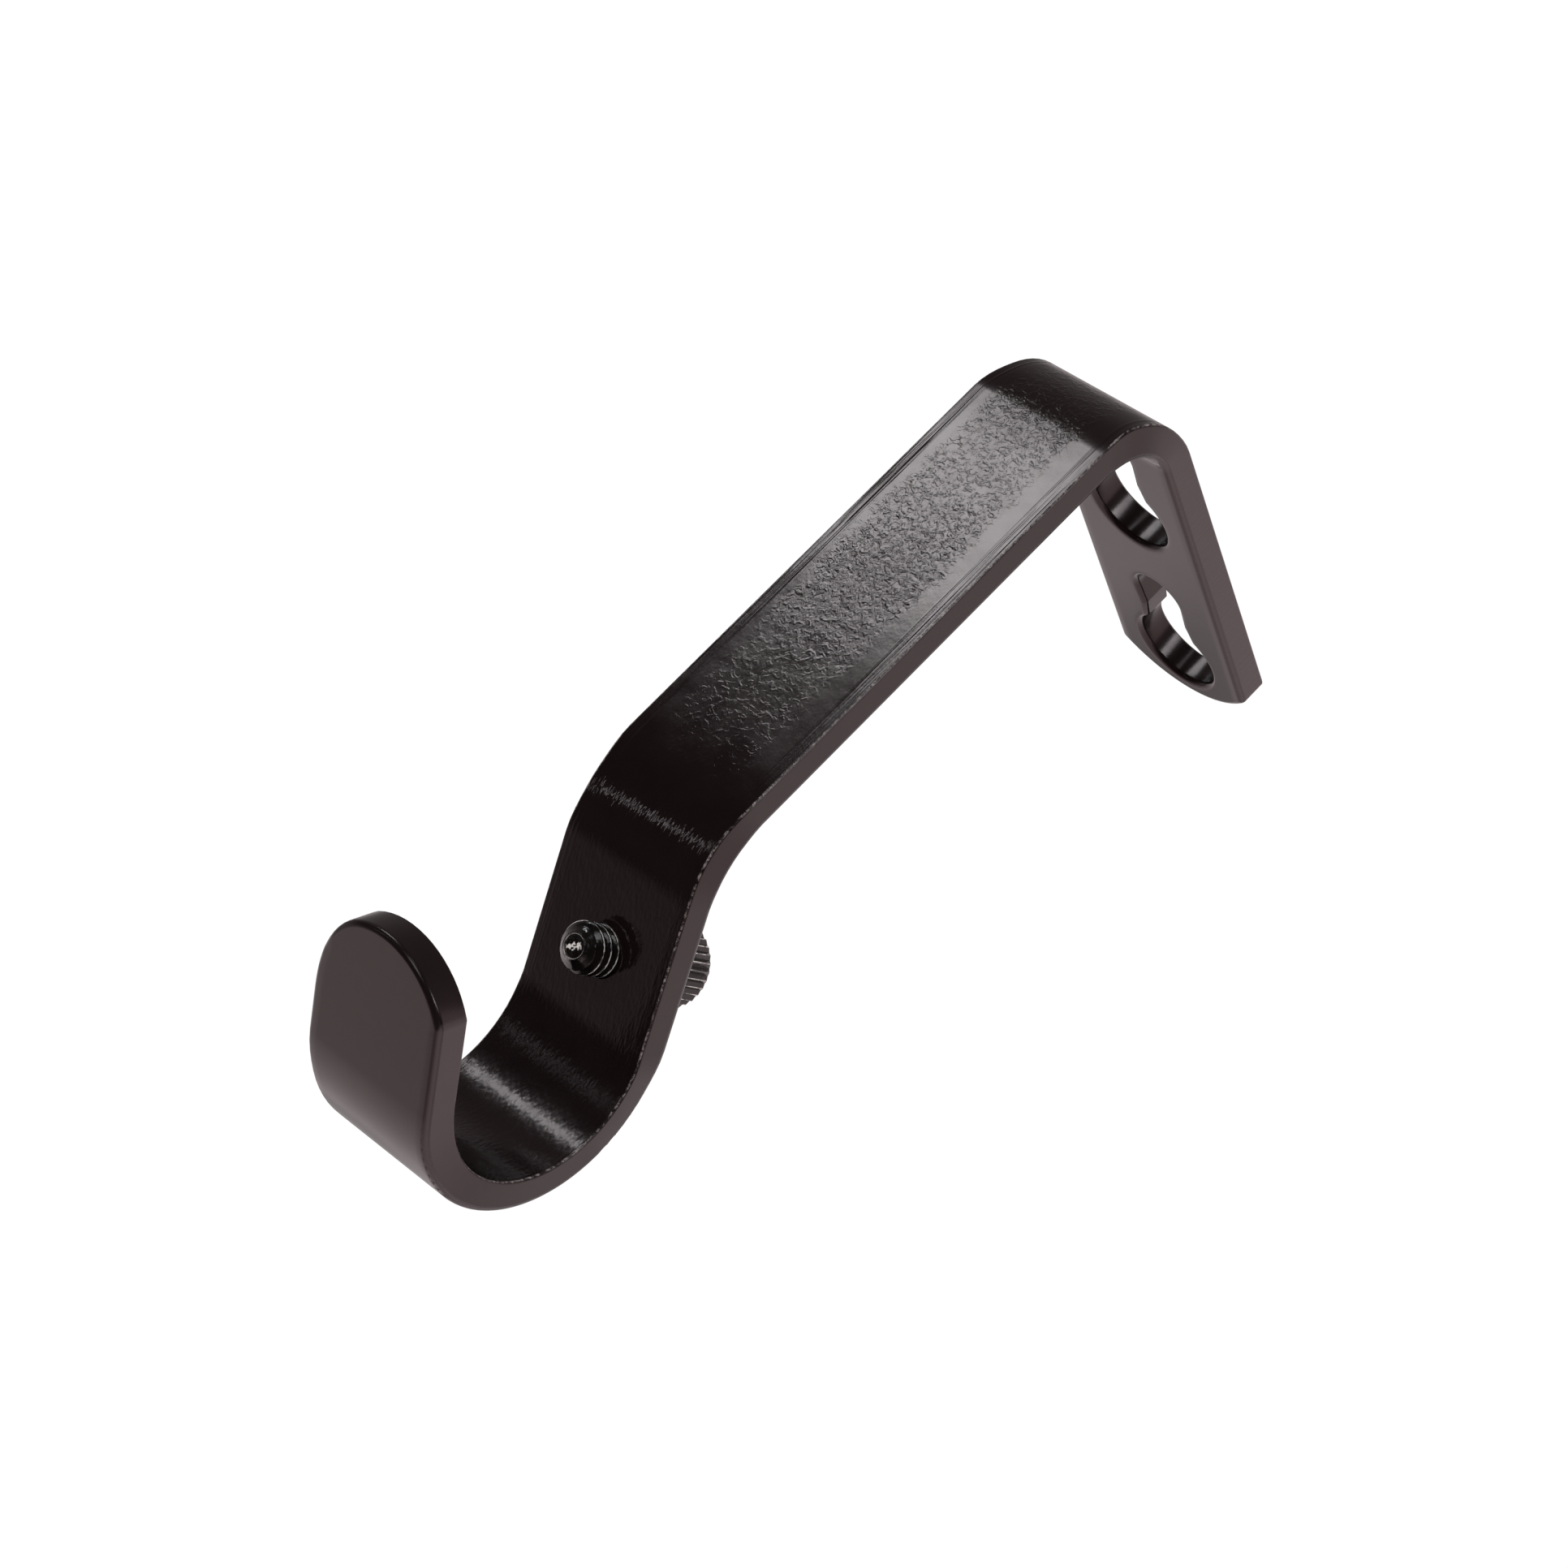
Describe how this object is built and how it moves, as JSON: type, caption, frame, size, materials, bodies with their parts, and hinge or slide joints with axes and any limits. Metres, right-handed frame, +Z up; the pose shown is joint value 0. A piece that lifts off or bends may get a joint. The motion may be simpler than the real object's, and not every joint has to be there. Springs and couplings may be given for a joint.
{
  "type": "curtain pole bracket",
  "caption": "Bent flat-steel wall bracket with a J-shaped open hook for a curtain pole, keyhole fixing slots and a knurled thumb screw through the stem.",
  "frame": {"origin": "on the wall face of the plate, on the centre line, in the middle of the bridge between the two keyholes", "axes": "+Y into the wall, -Y out into the room, +Z up, X along the pole"},
  "size_m": [0.02, 0.1201, 0.0758],
  "materials": {
    "powder_coated_steel": "satin",
    "black_screw": "gloss"
  },
  "bodies": {
    "bracket": {"bracket_strip": "powder_coated_steel"},
    "screw": {"thumb_screw": "black_screw"}
  },
  "joints": [
    {"name": "screw_travel", "type": "slide", "parent": "bracket", "child": "screw", "axis": [0, -0.515, 0.8572], "range_m": [-0.0045, 0.002]}
  ]
}
